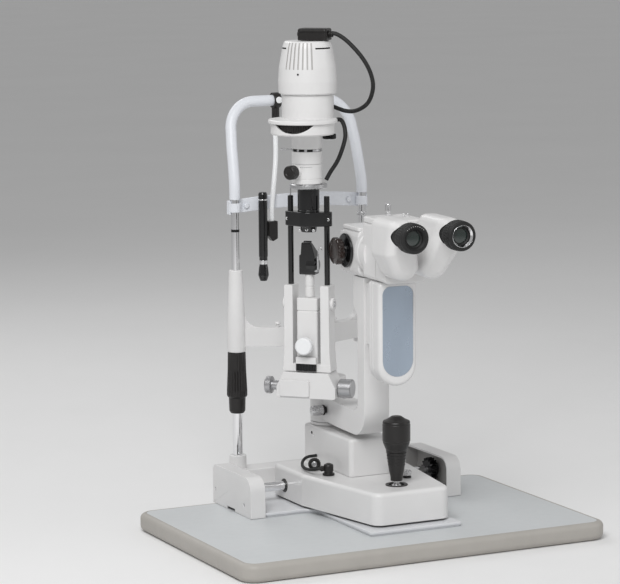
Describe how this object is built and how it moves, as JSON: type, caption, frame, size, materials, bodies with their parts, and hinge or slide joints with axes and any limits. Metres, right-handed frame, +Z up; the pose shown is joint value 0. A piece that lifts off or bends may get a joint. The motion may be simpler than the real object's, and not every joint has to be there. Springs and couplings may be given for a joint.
{
  "type": "slit lamp",
  "caption": "Slit lamp biomicroscope on a table top: rail-guided carriage with joystick, swinging binocular microscope, slit projector tower, and chin and forehead rest.",
  "frame": {"origin": "underside of the table top, midway between its front and rear edges, on the upright plane midway between the two rails", "axes": "+Z up; +Y from the operator to the patient; +X to the operator's right"},
  "size_m": [0.56, 0.5128, 0.7101],
  "materials": {
    "table_laminate": "matt laminate with a rounded plastic edge",
    "white_paint": "semi-gloss warm white enamel",
    "pale_plastic": "satin, slightly cool white",
    "chrome": "polished",
    "satin_steel": "satin",
    "black_plastic": "satin",
    "black_metal": "gloss black",
    "optical_glass": "coated, polished",
    "mirror_silver": "front-silvered",
    "black_rubber": "matt"
  },
  "bodies": {
    "table": {"table_top": "table_laminate", "slide_plate": "pale_plastic", "rail_cover_left": "white_paint", "rail_cover_right": "white_paint", "chinrest_base": "white_paint", "post_left": "chrome", "post_right": "chrome", "headrest_frame": "white_paint", "forehead_band": "pale_plastic", "fixation_clamp": "black_plastic"},
    "cross_slide": {"axle_sleeve": "chrome"},
    "axle": {"cross_axle": "satin_steel"},
    "carriage": {"carriage_cover": "white_paint", "lift_housing": "white_paint", "base_plug": "black_plastic", "base_lead": "black_rubber"},
    "base_lock": {"base_lock_knob": "satin_steel"},
    "gimbal": {"gimbal_ring": "satin_steel"},
    "joystick": {"joystick_shaft": "satin_steel"},
    "grip": {"joystick_grip": "black_plastic"},
    "column": {"lift_column": "satin_steel"},
    "lift_screw": {"lift_screw": "satin_steel"},
    "microscope": {"microscope_arm": "white_paint", "magnification_housing": "white_paint", "objective_lens": "optical_glass", "scope_body": "white_paint", "camera_housing": "white_paint"},
    "arm_lock": {"arm_lock_knob": "satin_steel"},
    "drum": {"magnification_drum": "black_metal"},
    "eye_left": {"prism_housing_left": "white_paint"},
    "eye_right": {"prism_housing_right": "white_paint"},
    "dioptre_left": {"eyepiece_left": "black_plastic"},
    "dioptre_right": {"eyepiece_right": "black_plastic"},
    "beam_selector": {"beam_selector": "chrome"},
    "illumination": {"illumination_arm": "white_paint"},
    "slit_width": {"slit_width_knobs": "satin_steel"},
    "tilt": {"tilt_yoke": "white_paint", "mirror_holder": "black_metal", "mirror": "mirror_silver", "rod_frame": "black_metal", "lens_barrel": "black_metal", "slit_column": "white_paint", "disc_housing": "white_paint", "lamp_cap": "white_paint", "lamp": "optical_glass", "lamp_connector": "black_plastic", "lamp_lead": "black_rubber"},
    "tilt_latch": {"tilt_latch": "black_metal"},
    "centring": {"centring_knob": "pale_plastic"},
    "slit_turn": {"slit_ring": "white_paint"},
    "slit_jaw_left": {"slit_jaw_left": "satin_steel"},
    "slit_jaw_right": {"slit_jaw_right": "satin_steel"},
    "filter_lever": {"filter_lever": "satin_steel"},
    "aperture_wheel": {"aperture_wheel": "black_plastic"},
    "filter_wheel": {"filter_wheel": "black_metal"},
    "chin": {"chin_carrier": "white_paint", "chin_cup": "pale_plastic"},
    "chin_grip": {"chin_grip": "black_plastic"},
    "fixation": {"fixation_rod": "white_paint"},
    "fixation_lamp": {"fixation_lamp": "black_metal"}
  },
  "joints": [
    {"name": "longitudinal", "type": "slide", "parent": "table", "child": "cross_slide", "axis": [0, 1, 0], "range_m": [-0.04, 0.036]},
    {"name": "axle_roll", "type": "hinge", "parent": "cross_slide", "child": "axle", "pos_m": [0, 0.125, 0.054], "axis": [1, 0, 0], "range_deg": [-145, 145]},
    {"name": "lateral", "type": "slide", "parent": "cross_slide", "child": "carriage", "axis": [1, 0, 0], "range_m": [-0.05, 0.05]},
    {"name": "base_lock_turn", "type": "hinge", "parent": "carriage", "child": "base_lock", "pos_m": [0.038, -0.02, 0.0803], "axis": [0, 0, 1], "range_deg": [0, 90]},
    {"name": "joystick_pitch", "type": "hinge", "parent": "carriage", "child": "gimbal", "pos_m": [0.003, -0.055, 0.072], "axis": [1, 0, 0], "range_deg": [-10, 10]},
    {"name": "joystick_roll", "type": "hinge", "parent": "gimbal", "child": "joystick", "pos_m": [0.003, -0.055, 0.072], "axis": [0, 1, 0], "range_deg": [-10, 10]},
    {"name": "grip_turn", "type": "hinge", "parent": "joystick", "child": "grip", "pos_m": [0.003, -0.055, 0.086], "axis": [0, 0, 1], "range_deg": [-5, 1085]},
    {"name": "lift", "type": "slide", "parent": "carriage", "child": "column", "axis": [0, 0, 1], "range_m": [0, 0.03]},
    {"name": "lift_screw_turn", "type": "hinge", "parent": "carriage", "child": "lift_screw", "pos_m": [0, 0.147, 0.026], "axis": [0, 0, 1], "range_deg": [-5, 1085]},
    {"name": "microscope_swing", "type": "hinge", "parent": "column", "child": "microscope", "pos_m": [0, 0.147, 0.156], "axis": [0, 0, 1], "range_deg": [-72, 78]},
    {"name": "arm_lock_turn", "type": "hinge", "parent": "microscope", "child": "arm_lock", "pos_m": [-0.00162, 0.11604, 0.16], "axis": [0.9986, -0.0523, 0], "range_deg": [0, 180]},
    {"name": "magnification_turn", "type": "hinge", "parent": "microscope", "child": "drum", "pos_m": [-0.00665, 0.02017, 0.403], "axis": [0.9986, -0.0523, 0], "continuous": true},
    {"name": "eye_distance_left", "type": "hinge", "parent": "microscope", "child": "eye_left", "pos_m": [-0.03581, -0.11599, 0.401], "axis": [0.0523, 0.9986, 0], "range_deg": [-8.6, 8.9]},
    {"name": "eye_distance_right", "type": "hinge", "parent": "microscope", "child": "eye_right", "pos_m": [0.00813, -0.11829, 0.401], "axis": [0.0523, 0.9986, 0], "range_deg": [-8.9, 8.6]},
    {"name": "dioptre_left_turn", "type": "hinge", "parent": "eye_left", "child": "dioptre_left", "pos_m": [-0.05172, -0.18074, 0.4455], "axis": [0.0523, 0.9986, 0], "range_deg": [-90, 90]},
    {"name": "dioptre_right_turn", "type": "hinge", "parent": "eye_right", "child": "dioptre_right", "pos_m": [0.01718, -0.18435, 0.4455], "axis": [0.0523, 0.9986, 0], "range_deg": [-90, 90]},
    {"name": "beam_selector_turn", "type": "hinge", "parent": "microscope", "child": "beam_selector", "pos_m": [-0.01083, -0.05972, 0.4583], "axis": [0, 0, 1], "range_deg": [0, 90]},
    {"name": "illumination_swing", "type": "hinge", "parent": "column", "child": "illumination", "pos_m": [0, 0.147, 0.194], "axis": [0, 0, 1], "range_deg": [-30, 75]},
    {"name": "slit_width_turn", "type": "hinge", "parent": "illumination", "child": "slit_width", "pos_m": [-0.06081, 0.08619, 0.202], "axis": [0.7071, -0.7071, 0], "range_deg": [0, 180]},
    {"name": "tower_tilt", "type": "hinge", "parent": "illumination", "child": "tilt", "pos_m": [-0.07212, 0.07487, 0.225], "axis": [0.7071, -0.7071, 0], "range_deg": [0, 20]},
    {"name": "tilt_latch_press", "type": "hinge", "parent": "tilt", "child": "tilt_latch", "pos_m": [-0.07106, 0.07594, 0.246], "axis": [0.7071, -0.7071, 0], "range_deg": [-6, 0], "stiffness_Nm_per_rad": 0.6},
    {"name": "centring_turn", "type": "hinge", "parent": "tilt", "child": "centring", "pos_m": [-0.06081, 0.08619, 0.264], "axis": [0.7071, 0.7071, 0], "range_deg": [-180, 180]},
    {"name": "slit_rotation", "type": "hinge", "parent": "tilt", "child": "slit_turn", "pos_m": [-0.06435, 0.08265, 0.507], "axis": [0, 0, 1], "range_deg": [-90, 90]},
    {"name": "slit_jaw_left_slide", "type": "slide", "parent": "slit_turn", "child": "slit_jaw_left", "axis": [-0.7071, 0.7071, 0], "range_m": [0, 0.006]},
    {"name": "slit_jaw_right_slide", "type": "slide", "parent": "slit_turn", "child": "slit_jaw_right", "axis": [0.7071, -0.7071, 0], "range_m": [0, 0.006]},
    {"name": "filter_lever_turn", "type": "hinge", "parent": "tilt", "child": "filter_lever", "pos_m": [-0.06435, 0.08265, 0.5405], "axis": [0, 0, 1], "range_deg": [-20, 20]},
    {"name": "aperture_wheel_turn", "type": "hinge", "parent": "tilt", "child": "aperture_wheel", "pos_m": [-0.08026, 0.06674, 0.574], "axis": [0, 0, 1], "continuous": true},
    {"name": "filter_wheel_turn", "type": "hinge", "parent": "tilt", "child": "filter_wheel", "pos_m": [-0.03429, 0.0724, 0.5585], "axis": [0, 0, 1], "continuous": true},
    {"name": "chin_height", "type": "slide", "parent": "table", "child": "chin", "axis": [0, 0, 1], "range_m": [-0.05, 0.03]},
    {"name": "chin_grip_turn", "type": "hinge", "parent": "chin", "child": "chin_grip", "pos_m": [-0.1034, 0.243, 0.186], "axis": [0, 0, 1], "range_deg": [-1805, 1085]},
    {"name": "fixation_swing", "type": "hinge", "parent": "table", "child": "fixation", "pos_m": [-0.02, 0.278, 0.546], "axis": [0, 0, 1], "range_deg": [0, 30]},
    {"name": "fixation_tilt", "type": "hinge", "parent": "fixation", "child": "fixation_lamp", "pos_m": [-0.0553, 0.235, 0.4115], "axis": [1, 0, 0], "range_deg": [0, 30]}
  ],
  "couplings": [
    {"joint": "axle_roll", "follows": "longitudinal", "rad_per_m": -62.5},
    {"joint": "grip_turn", "follows": "lift", "rad_per_m": 628.32},
    {"joint": "lift_screw_turn", "follows": "lift", "rad_per_m": 628.32},
    {"joint": "eye_distance_right", "follows": "eye_distance_left", "ratio": -1},
    {"joint": "slit_jaw_left_slide", "follows": "slit_width_turn", "m_per_rad": 0.0019},
    {"joint": "slit_jaw_right_slide", "follows": "slit_width_turn", "m_per_rad": 0.0019},
    {"joint": "chin_grip_turn", "follows": "chin_height", "rad_per_m": 628.32}
  ]
}
